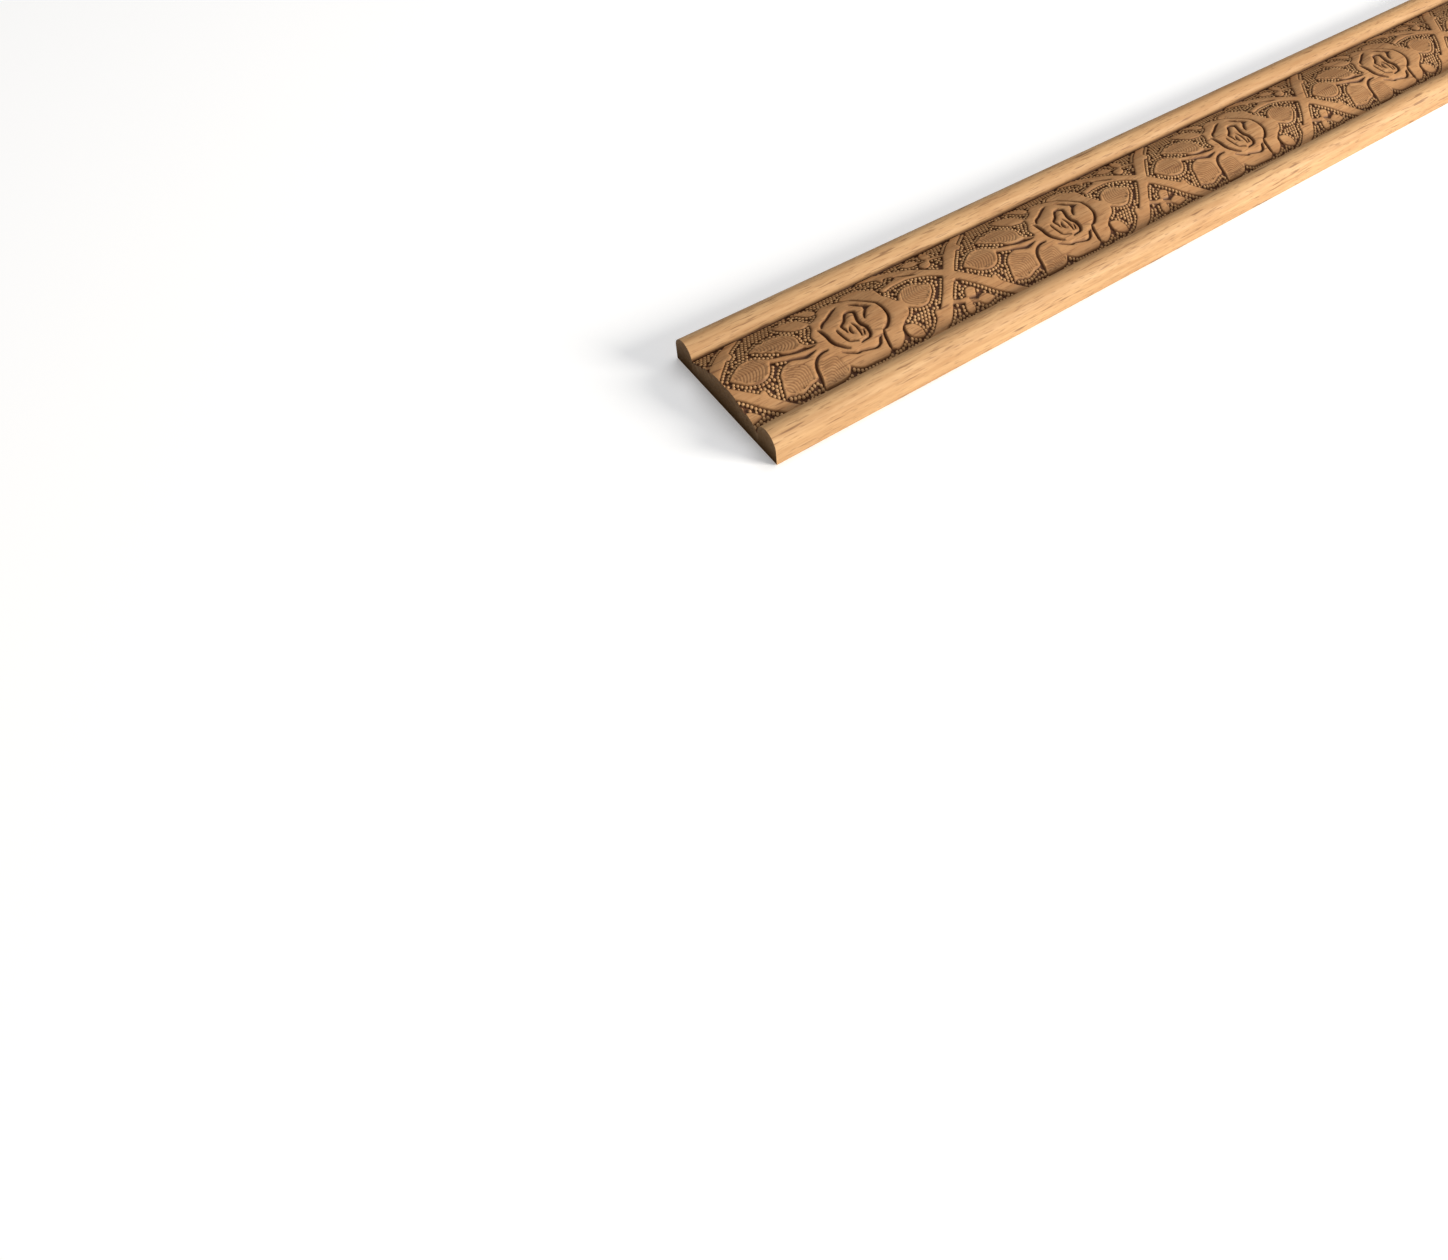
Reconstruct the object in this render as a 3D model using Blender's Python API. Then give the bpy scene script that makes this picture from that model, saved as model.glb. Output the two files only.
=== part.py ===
# A carved wooden moulding strip: a crowned band of roses and crossed ribbons between two rounded rails.
# The strip lies on its flat back, its length along X, its carved face up.
# All sizes are in millimetres and become metres when the mesh is made.
import math

import bmesh
import bpy
import numpy as np
from mathutils import Vector
from mathutils.geometry import delaunay_2d_cdt

MM = 0.001
LENGTH = 521.0
WIDTH = 50.0
HALF_WIDTH = WIDTH / 2
# One repeat of the pattern, and the place in it where the strip is cut.
REPEAT = 78.27
CUT_PLACE = 75.1
REPEAT_COUNT = 7

# The band: its height over the back at the middle, and how far it falls 16 mm from the middle.
CROWN_HEIGHT = 9.2
CROWN_FALL = 3.9
CROWN_FALL_AT = 16.0
BAND_HALF = 16.35
CARVED_HALF = 15.95
# The rail from its foot beside the band to the top of its outer side: distance from the middle, height.
RAIL_PROFILE = [
    (16.35, 4.4), (16.55, 6.0), (17.1, 7.2), (18.0, 8.1), (19.2, 8.75), (20.5, 9.0),
    (21.8, 8.85), (23.0, 8.3), (24.0, 7.4), (24.7, 6.3), (25.0, 5.0),
]

# The relief: depth of the ground, run of its sloped sides, depth of the cuts inside the motifs.
GROUND_DEPTH = 0.9
SIDE_RUN = 0.38
CUT_DEPTH = 0.65
# Levels closer than this to a rim or a foot count as on it.
LEVEL_SNAP = 0.12

# Spacing of the measuring grid, and how far a simplified outline may leave the true one.
GRID_STEP = 0.3
OUTLINE_TOLERANCE = 0.2
SHORTEST_LOOP = 4.0
# Spare points that keep the crown round, and how far they stay from an outline.
ROW_HEIGHTS = [-11.0, -5.5, 0.0, 5.5, 11.0]
ROW_STEP = 8.0
ROW_CLEARANCE = 0.9
ROW_END_GAP = 2.0
# How near a neighbouring repeat's outline counts, and how near the rail's foot a point is the rail's.
NEIGHBOUR_REACH = 2.0
RAIL_SNAP = 0.01
FAR_AWAY = 50.0
# In metres: points this close are merged, and this close to a cut end they lie on it.
MERGE_DISTANCE = 0.00002
END_SNAP = 0.00001

WOOD_COLOUR = (0.62, 0.38, 0.20, 1.0)
WOOD_ROUGHNESS = 0.55
SMOOTH_ANGLE = math.radians(28)

# Outlines of the motifs within one repeat, x along the strip from a crossing, y across from the middle.
# The crossing of two ribbons with its four arms, the thorn and the knots on their edges.
RIBBONS = [
    (23, -17.2), (17.2, -17.2), (16, -16), (13, -13.6), (8, -10), (0.45, -2.6), (0.23, -2.6),
    (-2.27, -5.6), (-3.97, -8.1), (-5.27, -9), (-5.67, -9.6), (-9.27, -13), (-12.27, -15.2),
    (-14.1, -17.2), (-18, -17.2), (-15.77, -14.8), (-11.87, -11.6), (-11.37, -10.8), (-11.17, -8.9),
    (-10.07, -7.9), (-9.27, -8.1), (-8.57, -7.9), (-3.27, -1.8), (-1.97, -0.1), (-1.97, 0.3),
    (-4.77, 3.6), (-9.27, 8), (-9.97, 7.5), (-10.57, 7.4), (-11.07, 7.9), (-11.17, 9.6),
    (-11.57, 10.4), (-14.47, 13.4), (-19.3, 17.2), (-14.3, 17.2), (-13.27, 16), (-10.27, 13.8),
    (-7.27, 11), (-0.27, 2.9), (1.2, 3.6), (4.2, 7), (5, 8), (5.5, 9.1), (6.4, 9.9), (8, 12), (10, 14),
    (11, 14.7), (14, 16.3), (15, 17.2), (21.5, 17.2), (20, 16), (17.2, 14.9), (16.2, 14.3),
    (14.4, 12.8), (13.6, 12), (12.5, 9.4), (11.9, 9), (10.7, 9.7), (9.9, 9), (4.6, 3), (3, 1),
    (2.4, -0.3), (5, -2.8), (6, -3.5), (9, -5.1), (11, -5.8), (16, -5.8), (19.2, -5), (19.9, -5.2),
    (20.2, -5.7), (19.8, -6.8), (18.4, -6.8), (17.8, -7.2), (16.2, -7.5), (15.7, -7.9), (14.3, -8),
    (13.8, -8.5), (12.4, -8.9), (14, -10.8), (15, -11.2), (15.8, -11), (16.2, -10.2), (16.8, -9.8),
    (17.2, -10.4), (17.1, -12), (17.6, -12.7), (21.3, -15.1),
]
# The broad leaf between crossing and rose.
BUD_LEAF = [
    (19.5, 4.4), (19.5, 1.2), (18.8, 0.8), (17.8, -0.8), (17, -1.5), (16, -2.2), (15, -2.6),
    (13, -2.8), (12, -2.5), (11, -2), (7.4, 0.6), (8.3, 2.5), (9, 3.4), (12, 5.9), (14, 6.2),
    (15, 6.1), (16, 5.7), (18, 4.4),
]
# The leaf on the shoulder of the rose.
SHOULDER_LEAF = [
    (23.5, 11.3), (23.2, 9.2), (21.4, 9.4), (20.4, 9.8), (19.7, 10.6), (19.2, 11.6), (19, 12.6),
    (19.2, 14), (20, 14.2), (21, 14.1), (22.8, 13), (23.3, 12.2),
]
# The open rose with its calyx.
ROSE = [
    (47.2, 1.7), (46.7, 1.5), (46.9, -0.8), (46.5, -1.8), (45, -3.7), (44.2, -5.6), (44.3, -6.2),
    (41.2, -7.6), (40.2, -8.4), (39.7, -9.1), (39.6, -9.8), (38.2, -10.9), (37.2, -11.4), (36, -11.5),
    (33.6, -10.9), (32.5, -10.4), (29.2, -12.2), (27.5, -12.3), (26, -12.1), (24.9, -11.7),
    (24.1, -11.1), (23.2, -9.6), (21.4, -8.3), (21.2, -7), (21.3, -4.1), (19.7, -0.1), (18.9, 1),
    (18.3, 4.6), (19.4, 6.4), (22.2, 8.1), (24.1, 9.8), (24.3, 10.8), (24.9, 11.9), (25.7, 12.7),
    (28, 14.1), (29, 14.1), (29.6, 13.5), (30.3, 13.2), (31.7, 14.4), (33, 14.7), (39, 14.5),
    (40.4, 14.3), (41.4, 13.8), (42.3, 13.2), (43.2, 12.1), (45, 9),
]
# The three-cornered leaf above the calyx.
NOTCHED_LEAF = [
    (52.9, 15), (52.7, 13.5), (51.4, 9), (50.6, 7.6), (49.5, 6.5), (48.2, 5.8), (46.3, 5.6),
    (44.5, 6.5), (42.6, 9.5), (43.2, 12.1), (44.8, 14.2), (45.8, 14.7), (48, 15),
]
# The long leaf with a notched tip.
LONG_LEAF = [
    (63.6, 12.3), (61.4, 6.1), (59.7, 4.3), (58.3, 3.6), (56.5, 3.1), (55.5, 3.3), (53, 4.4),
    (51.6, 4.7), (49, 3.9), (47, 2.8), (46.3, 4.8), (48.4, 5.35), (49.6, 6), (50.5, 6.8), (51.3, 7.9),
    (52.4, 10.6), (53.2, 11.4), (54.2, 11.8), (55.5, 12), (58.8, 13.2), (59.8, 13), (60.2, 12.6),
    (61, 12.7), (62.1, 12.1),
]
# The stem from the calyx to the tip leaf.
STEM = [
    (61.2, -0.4), (60, -0.7), (59, -0.1), (53, 1.7), (48.9, 2.3), (47, 1.9), (46.6, 3.6), (50, 3.3),
    (51.5, 3.4), (53, 3.1), (56, 2.1), (57.3, 1.9), (60.6, 0.6),
]
# The pointed leaf that closes the stem.
TIP_LEAF = [
    (73.2, 0.2), (71.6, -1.4), (70.1, -2.5), (68.2, -3.7), (67, -4), (65, -3.9), (64.2, -3.3),
    (63.2, -3.1), (61.8, -1.7), (59.5, -0.3), (61.2, 0.5), (62, 2.2), (63.3, 3.8), (64.3, 4.5),
    (65.3, 4.9), (66.5, 5), (67.5, 4.9), (70, 3.9), (72, 1.8),
]
# The leaf with a toothed lower edge.
TOOTHED_LEAF = [
    (63.2, -6.7), (62.6, -7.2), (60.7, -8), (59.5, -8.8), (58.5, -8.2), (57.9, -8.4), (57.2, -9),
    (56.3, -8.5), (55, -8.9), (53.6, -7.7), (52.5, -7.5), (50.6, -5.2), (50.1, -3.5), (50.5, -1.5),
    (49.9, 0), (48.4, 1.2), (46.6, 1.6), (46.6, 2.3), (49.8, 1.1), (50.6, 0.6), (53, 0.5),
    (55.6, -0.2), (56.8, -1.1), (57.8, -2.4), (58.6, -2.7), (59.8, -4), (60.6, -4.4), (61.8, -5.7),
]
# The small leaves under the rose.
DROP_LEAF = [
    (52.1, -11.8), (52.1, -12.7), (50, -12.9), (49, -12.8), (47, -12.1), (45.3, -10.7), (43.6, -6.6),
    (44.6, -6.3), (46, -6.2), (48, -6.7), (49, -7.2), (50.6, -8.8), (51.3, -9.8),
]
LOWER_LEAF = [
    (44.8, -15), (42.6, -14.7), (40.8, -14), (40.1, -13.3), (39.3, -11.6), (39.3, -10.8), (39.8, -9.9),
    (41, -10), (41.9, -10.4), (42.6, -11.1), (43.6, -13.7),
]
# The sprig below the crossing.
LOW_STALK = [
    (1.3, -10), (0.3, -10.6), (-0.9, -10.4), (-4.5, -9), (-5.6, -9), (-5, -8), (-0.3, -9.5),
    (1.2, -9.4),
]
LOW_ROUND = [
    (4.3, -7.7), (4.2, -8.6), (3.7, -9.3), (2.9, -9.7), (-0.1, -9.7), (0.6, -8.8), (1.2, -7.3),
    (2, -6.7), (3, -6.5), (3.9, -6.9),
]
LOW_SIDE = [
    (7.9, -12.9), (7.6, -11.8), (6.2, -10.7), (5.2, -10.3), (3.5, -10.7), (1.2, -9.8), (0.9, -10.1),
    (3, -11.2), (3.6, -12.8), (4.2, -13.5), (5, -13.8),
]
LOW_DROP = [
    (1, -11.7), (0.9, -11), (0.3, -10.3), (-0.6, -10.5), (-1.7, -11), (-2, -13), (-1.9, -14),
    (-1.3, -14.8), (-0.6, -15.2), (0, -14.6), (0.9, -12.7),
]
# The sprig above the crossing.
HIGH_STALK = [
    (6.2, 9.8), (5.6, 9), (3.2, 9.9), (1.8, 9.9), (0.9, 10.4), (1.2, 11.1), (2.9, 11.1), (4.2, 10.4),
]
HIGH_UP = [
    (4, 13.8), (3.8, 14.6), (3, 15), (2.2, 14.8), (1.4, 14.2), (1.1, 13.4), (1.2, 12.6), (0.9, 12),
    (1.1, 11), (2.9, 11.1), (3.9, 12.9),
]
HIGH_SIDE = [
    (1, 10.9), (-1.3, 11.9), (-2.5, 11.2), (-3.3, 11.1), (-4.2, 11.4), (-5.6, 12.5), (-6.3, 13.6),
    (-3.5, 14.3), (-2.6, 14.2), (-0.9, 12.6), (0.8, 11.9),
]
HIGH_ROUND = [
    (1.5, 10), (1, 8.4), (0.5, 7.8), (-0.2, 7.4), (-1, 7.3), (-1.8, 7.6), (-2.4, 8.1), (-2.6, 8.6),
    (-1.6, 10.3), (-0.8, 10.5),
]

SHAPES = [
    RIBBONS, BUD_LEAF, SHOULDER_LEAF, ROSE, NOTCHED_LEAF, LONG_LEAF, STEM, TIP_LEAF, TOOTHED_LEAF,
    DROP_LEAF, LOWER_LEAF, LOW_STALK, LOW_ROUND, LOW_SIDE, LOW_DROP, HIGH_STALK, HIGH_UP, HIGH_SIDE,
    HIGH_ROUND,
]

# Cut lines between petals and leaves: half the width of the cut, then its course.
CUTS = [
    (0.45, [
        (8.2, -6.1), (12.8, -9.4),
    ]),
    (0.45, [
        (28.7, 7.3), (27.5, 6.9), (26.6, 6.3), (25.7, 5.5), (24.5, 3.7), (24, 1), (24.2, -2),
        (24.7, -3.2), (28.4, -8.2), (30.3, -9.8), (32.6, -10.9),
    ]),
    (0.45, [
        (30.3, 13.6), (29.6, 9.5), (28.7, 7.4),
    ]),
    (0.45, [
        (30.3, 8.6), (30.9, 8.8), (31.8, 10.2), (32.4, 10.7), (33.2, 10.95), (34.2, 10.95),
        (37.2, 10.1), (39.4, 9.9), (42.8, 7.9),
    ]),
    (0.45, [
        (40.2, 7.7), (42.2, 5.5), (42.8, 4.6), (43.2, 3.5), (43.2, 1), (43.5, -1.5), (43.9, -2.5),
    ]),
    (0.45, [
        (42.5, -2.5), (41.2, -4.2), (36.2, -7.3), (34.3, -8.1),
    ]),
    (0.45, [
        (36.3, 7.8), (35.4, 7.5), (33.5, 7.3), (32.8, 6.8), (32.3, 6), (32, 4), (32.6, 2.3),
        (32.6, 0.2), (31.5, -2.7), (31.8, -3.5), (32.5, -4.1), (33.2, -4.2), (33.9, -3.9), (36, -1.4),
        (37.7, -0.1), (37.5, 2.7),
    ]),
    (0.45, [
        (36.9, 6.9), (37.7, 6.3), (38.9, 5.8), (39.4, 4.6), (39.8, 1.8), (39.7, 0.6),
    ]),
    (0.45, [
        (45.8, 5.2), (47.2, 5.1), (48.5, 5.4), (49.6, 6), (50.6, 6.9), (51.4, 8.1), (51.95, 9.6),
        (52.9, 13.8),
    ]),
    (0.45, [
        (49, 3.6), (51.5, 4.2), (52.8, 3.9), (56, 2.5), (57, 2.5),
    ]),
]


def clear_scene():
    for item in list(bpy.data.objects):
        bpy.data.objects.remove(item, do_unlink=True)


def distance_to_line(px, py, line):
    """Distance of the points from an open line."""
    best = np.full(px.shape, FAR_AWAY)
    for (ax, ay), (bx, by) in zip(line, line[1:]):
        dx = bx - ax
        dy = by - ay
        share = ((px - ax) * dx + (py - ay) * dy) / (dx * dx + dy * dy)
        share = np.clip(share, 0.0, 1.0)
        gap = np.hypot(px - ax - share * dx, py - ay - share * dy)
        best = np.minimum(best, gap)
    return best


def inside_shape(px, py, shape):
    """True for points inside a closed outline."""
    odd = np.zeros(px.shape, dtype=bool)
    for (ax, ay), (bx, by) in zip(shape, shape[1:] + shape[:1]):
        if ay == by:
            continue
        spans = (ay > py) != (by > py)
        crossing = ax + (py - ay) * (bx - ax) / (by - ay)
        odd ^= spans & (px < crossing)
    return odd


def depth_inside(px, py, shape):
    """Distance from the outline, positive inside and negative outside."""
    gap = distance_to_line(px, py, shape + shape[:1])
    return np.where(inside_shape(px, py, shape), gap, -gap)


def moved(shape, shift):
    return [(x + shift, y) for x, y in shape]


def repeats_of(shape):
    """The copies of an outline that reach into one repeat."""
    copies = []
    for shift in (-REPEAT, 0.0, REPEAT):
        copy = moved(shape, shift)
        if max(x for x, _ in copy) > -NEIGHBOUR_REACH and min(x for x, _ in copy) < REPEAT + NEIGHBOUR_REACH:
            copies.append(copy)
    return copies


def motif_field(px, py):
    """Distance from the edge of everything that stands up, positive inside."""
    field = np.full(px.shape, -FAR_AWAY)
    for shape in SHAPES:
        for copy in repeats_of(shape):
            field = np.maximum(field, depth_inside(px, py, copy))
    return np.minimum(field, CARVED_HALF - np.abs(py))


def cut_share(px, py):
    """How far into a cut a point lies: 1 on its centre line, 0 or less outside it."""
    share = np.full(px.shape, -FAR_AWAY)
    for half, line in CUTS:
        for copy in repeats_of(line):
            share = np.maximum(share, 1.0 - distance_to_line(px, py, copy) / half)
    return share


def crossing_point(xs, ys, field, edge):
    """Where the zero level crosses one edge of the grid."""
    way, i, j = edge
    di, dj = (1, 0) if way == "along" else (0, 1)
    here = field[i, j]
    there = field[i + di, j + dj]
    share = here / (here - there)
    x = xs[i] + share * (xs[i + di] - xs[i])
    y = ys[j] + share * (ys[j + dj] - ys[j])
    return (float(x), float(y))


def cell_links(field, i, j):
    """Pairs of crossed edges of one grid cell."""
    edges = [("along", i, j), ("across", i + 1, j), ("along", i, j + 1), ("across", i, j)]
    corners = [field[i, j], field[i + 1, j], field[i + 1, j + 1], field[i, j + 1]]
    signs = [value > 0 for value in corners]
    crossed = [edges[k] for k in range(4) if signs[k] != signs[(k + 1) % 4]]
    if len(crossed) == 2:
        return [(crossed[0], crossed[1])]
    centre_in = sum(corners) > 0
    if centre_in == signs[0]:
        return [(edges[0], edges[1]), (edges[2], edges[3])]
    return [(edges[0], edges[3]), (edges[1], edges[2])]


def zero_lines(xs, ys, field):
    """The lines on which the field is zero, as lists of points."""
    field = np.where(field == 0.0, 1e-9, field)
    inside = field > 0
    corner_sum = inside[:-1, :-1].astype(int) + inside[1:, :-1] + inside[:-1, 1:] + inside[1:, 1:]
    links = {}
    for i, j in np.argwhere((corner_sum > 0) & (corner_sum < 4)):
        for first, second in cell_links(field, int(i), int(j)):
            links.setdefault(first, []).append(second)
            links.setdefault(second, []).append(first)
    lines = []
    ends = [edge for edge in links if len(links[edge]) == 1]
    for start in ends + list(links):
        if start in links:
            lines.append(walk(links, start))
    return [[crossing_point(xs, ys, field, edge) for edge in line] for line in lines]


def walk(links, start):
    """Follow the links from one edge to the end of its line, or round to its start."""
    line = [start]
    before = None
    here = start
    while True:
        onward = [edge for edge in links[here] if edge != before]
        if not onward or onward[0] == start:
            if onward:
                line.append(start)
            break
        before = here
        here = onward[0]
        line.append(here)
    for edge in line:
        links.pop(edge, None)
    return line


def gaps_to_chord(line):
    """Distance of a line's inner points from its chord, or from its start if it is a loop."""
    px, py = np.array(line[1:-1]).T
    if line[0] == line[-1]:
        return np.hypot(px - line[0][0], py - line[0][1])
    return distance_to_line(px, py, [line[0], line[-1]])


def simplify(line, tolerance):
    """Drop the points that a straight line between the others replaces."""
    if len(line) < 3:
        return line
    gaps = gaps_to_chord(line)
    middle = int(np.argmax(gaps)) + 1
    if gaps[middle - 1] <= tolerance:
        return [line[0], line[-1]]
    return simplify(line[:middle + 1], tolerance)[:-1] + simplify(line[middle:], tolerance)


def line_length(line):
    return sum(math.dist(a, b) for a, b in zip(line, line[1:]))


def level_lines(xs, ys, field):
    """Simplified zero lines, without the closed crumbs."""
    lines = [simplify(line, OUTLINE_TOLERANCE) for line in zero_lines(xs, ys, field)]
    return [line for line in lines if line[0] != line[-1] or line_length(line) > SHORTEST_LOOP]


def fields_on_grid():
    """The motif and cut fields on a regular grid over one repeat."""
    xs = np.linspace(0.0, REPEAT, round(REPEAT / GRID_STEP) + 1)
    ys = np.linspace(-BAND_HALF, BAND_HALF, round(2 * BAND_HALF / GRID_STEP) + 1)
    px, py = np.meshgrid(xs, ys, indexing="ij")
    motif = motif_field(px, py)
    cuts = cut_share(px, py)
    motif[-1] = motif[0]
    cuts[-1] = cuts[0]
    return xs, ys, motif, cuts


def row_points():
    """Spare points in staggered rows over one repeat, away from every outline."""
    points = []
    for number, y in enumerate(ROW_HEIGHTS):
        start = ROW_STEP / 2 if number % 2 else ROW_STEP
        count = int((REPEAT - start - ROW_END_GAP) / ROW_STEP) + 1
        points += [(start + ROW_STEP * k, y) for k in range(count)]
    px, py = np.array(points).T
    clear = (np.abs(motif_field(px, py)) > ROW_CLEARANCE) & (cut_share(px, py) < -1.0)
    return [point for point, keep in zip(points, clear) if keep]


def add_line(points, edges, line):
    """Append a line's points and the edges between them."""
    start = len(points)
    points.extend(line)
    edges.extend((k, k + 1) for k in range(start, start + len(line) - 1))


def repeat_mesh():
    """Points and triangles of one repeat, flat, from rail edge to rail edge."""
    xs, ys, motif, cuts = fields_on_grid()
    points = []
    edges = []
    tops = np.minimum(motif, -cuts)
    for line in level_lines(xs, ys, tops) + level_lines(xs, ys, motif + SIDE_RUN):
        add_line(points, edges, line)
    for _, line in CUTS:
        add_line(points, edges, simplify(line, OUTLINE_TOLERANCE))
    for distance, _ in RAIL_PROFILE:
        for y in (-distance, distance):
            add_line(points, edges, [(0.0, y), (REPEAT, y)])
    for y in ROW_HEIGHTS:
        points += [(0.0, y), (REPEAT, y)]
    for x in (0.0, REPEAT):
        add_line(points, edges, [(x, -HALF_WIDTH), (x, HALF_WIDTH)])
    points += row_points()
    vectors = [Vector(point) for point in points]
    result = delaunay_2d_cdt(vectors, edges, [], 0, 1e-5)
    flat = np.array([(point.x, point.y) for point in result[0]])
    return flat, result[2]


def snapped(share, snap):
    """Bring shares that are nearly 0 or nearly 1 to 0 or 1."""
    share = np.clip(share, 0.0, 1.0)
    share = np.where(share < snap, 0.0, share)
    return np.where(share > 1.0 - snap, 1.0, share)


def surface_heights(px, py):
    """Height of the carved face over the flat back."""
    ground = snapped(-motif_field(px, py) / SIDE_RUN, LEVEL_SNAP) * GROUND_DEPTH
    cuts = snapped(cut_share(px, py), LEVEL_SNAP) * CUT_DEPTH
    band = CROWN_HEIGHT - CROWN_FALL * (py / CROWN_FALL_AT) ** 2 - np.maximum(ground, cuts)
    distances = [distance for distance, _ in RAIL_PROFILE]
    heights = [height for _, height in RAIL_PROFILE]
    rail = np.interp(np.abs(py), distances, heights)
    return np.where(np.abs(py) > BAND_HALF - RAIL_SNAP, rail, band)


def strip_place(x, shift):
    """Place along the finished strip of a point of the pattern."""
    return -LENGTH / 2 + CUT_PLACE - x + shift


def carved_face(body):
    """Lay the repeats side by side and cut the strip square at both ends."""
    flat, faces = repeat_mesh()
    heights = surface_heights(flat[:, 0], flat[:, 1])
    for number in range(REPEAT_COUNT):
        shift = number * REPEAT
        corners = []
        for (x, y), height in zip(flat, heights):
            place = Vector((strip_place(x, shift), -y, height)) * MM
            corners.append(body.verts.new(place))
        for face in faces:
            body.faces.new([corners[k] for k in face])
    bmesh.ops.remove_doubles(body, verts=body.verts[:], dist=MERGE_DISTANCE)
    for side in (-1, 1):
        geometry = body.verts[:] + body.edges[:] + body.faces[:]
        plane = Vector((side * LENGTH / 2 * MM, 0, 0))
        bmesh.ops.bisect_plane(
            body, geom=geometry, dist=END_SNAP, plane_co=plane, plane_no=(side, 0, 0), clear_outer=True,
        )


def close_body(body):
    """Add the two ends, the two long sides and the flat back."""
    half_length = LENGTH / 2 * MM
    half_width = HALF_WIDTH * MM
    rim = {vert for edge in body.edges if edge.is_boundary for vert in edge.verts}
    feet = {}
    for sx in (-1, 1):
        for sy in (-1, 1):
            feet[sx, sy] = body.verts.new((sx * half_length, sy * half_width, 0.0))
    for side in (-1, 1):
        end = [vert for vert in rim if abs(vert.co.x - side * half_length) < END_SNAP]
        end.sort(key=lambda vert: vert.co.y)
        for vert in end:
            vert.co.x = side * half_length
        body.faces.new(end + [feet[side, 1], feet[side, -1]])
        edge = [vert for vert in rim if abs(vert.co.y - side * half_width) < END_SNAP]
        edge.sort(key=lambda vert: vert.co.x)
        body.faces.new(edge + [feet[1, side], feet[-1, side]])
    body.faces.new([feet[-1, -1], feet[-1, 1], feet[1, 1], feet[1, -1]])
    bmesh.ops.recalc_face_normals(body, faces=body.faces[:])


def wood_material():
    material = bpy.data.materials.new("carved_wood")
    material.use_nodes = True
    shader = material.node_tree.nodes["Principled BSDF"]
    shader.inputs["Base Color"].default_value = WOOD_COLOUR
    shader.inputs["Roughness"].default_value = WOOD_ROUGHNESS
    shader.inputs["Metallic"].default_value = 0.0
    return material


def build_moulding():
    body = bmesh.new()
    carved_face(body)
    close_body(body)
    mesh = bpy.data.meshes.new("moulding")
    body.to_mesh(mesh)
    body.free()
    strip = bpy.data.objects.new("moulding", mesh)
    bpy.context.collection.objects.link(strip)
    mesh.materials.append(wood_material())
    mesh.shade_smooth()
    mesh.set_sharp_from_angle(angle=SMOOTH_ANGLE)


clear_scene()
build_moulding()
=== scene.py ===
import math

import bmesh
import bpy
import numpy as np
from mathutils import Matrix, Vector
from mathutils.geometry import delaunay_2d_cdt


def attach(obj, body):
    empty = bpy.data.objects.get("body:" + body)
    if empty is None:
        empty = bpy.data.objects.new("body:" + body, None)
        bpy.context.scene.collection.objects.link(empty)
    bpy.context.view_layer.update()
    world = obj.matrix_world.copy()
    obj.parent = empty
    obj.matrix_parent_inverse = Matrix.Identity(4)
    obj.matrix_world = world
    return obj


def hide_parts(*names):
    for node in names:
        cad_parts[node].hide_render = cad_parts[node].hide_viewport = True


MM = 0.001
LENGTH = 521.0
HALF_WIDTH = 25.0
# In metres: how near two vertices of a seam are merged, and how near a vertex counts as on an end or side.
SEAM_MERGE = 0.00002
EDGE_REACH = 0.00001
# One repeat of the pattern, and the place in it where the strip is cut.
REPEAT = 78.27
CUT_PLACE = 75.1
REPEAT_COUNT = 7

# The band: its height at the middle, how far it falls 16 mm from the middle, and its half width with and
# without the narrow grooves beside the rails.
CROWN_HEIGHT = 9.2
CROWN_FALL = 3.9
CROWN_FALL_AT = 16.0
BAND_HALF = 16.35
CARVED_HALF = 15.95
# The rail from its foot beside the band to the top of its outer side: distance from the middle, height.
RAIL_PROFILE = [
    (16.35, 4.4), (16.45, 5.3), (16.6, 6.1), (16.85, 6.75), (17.2, 7.3), (17.7, 7.85), (18.3, 8.3),
    (19.0, 8.66), (19.8, 8.92), (20.6, 9.0), (21.4, 8.93), (22.2, 8.7), (22.9, 8.36), (23.5, 7.9),
    (24.0, 7.4), (24.4, 6.85), (24.7, 6.3), (24.9, 5.7), (25.0, 5.0),
]
RAIL_STEPS = 6
# How far inside the band's edge a point already counts as on the rail, and the run of the painted shade at
# its foot.
RAIL_SLACK = 0.01
RAIL_SHADE_RUN = 0.25

# The relief: ground depth, run of its sides, rounding of the rims, depth of the cuts and run of their sides.
GROUND_DEPTH = 0.9
SIDE_RUN = 0.16
RIM_RUN = 0.4
RIM_FALL = 0.14
CUT_DEPTH = 0.75
CUT_SIDE = 0.2
# A cut narrows to this share of its width over this run at its ends.
TAPER_RUN = 2.6
TAPER_LEAST = 0.55
# How far beside a cut the wood sinks towards it, and over what run the sinking ends with the cut.
SINK_REACH = 1.5
SINK_FADE = 2.0
# Levels of the motif field that get a line of points of their own.
RIM_LEVELS = [0.0, RIM_RUN]

# How much of the cut ends' dark brown, partly end grain and partly painted shade, shows at the top of a cut
# end.
END_TOP_SHARE = 0.66

# How much painted shade darkens the very edge of a motif.
EDGE_PAINTED_SHADE = 0.35

# The raised dots of the ground: radius of a full dot's top and of its foot.
DOT_TOP_RADIUS = 0.44
DOT_FOOT_RADIUS = 0.52
# Their places: pitch in a file, pitch of the rows, step of the search for further room, and least distance.
DOT_PITCH = 1.13
DOT_ROW = 1.06
DOT_SEARCH = 0.3
DOT_NEAREST = 1.03
# How far the files lie from the outlines, and how far from the middle rows are laid and dots are kept.
DOT_EDGE_GAP = SIDE_RUN + DOT_FOOT_RADIUS
DOT_ROWS_REACH = CARVED_HALF - 0.5
DOT_REACH = CARVED_HALF - 0.3
# The smallest dot as a share of a full one, the shoulder's share of the height, the height and the sides.
DOT_LEAST_SIZE = 0.66
DOT_SHOULDER = 0.86
DOT_HEIGHT = 0.7
DOT_SIDES = 6
# How much less the dots' tops are browned than the rest of the band.
DOT_PALENESS = 0.6

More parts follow.
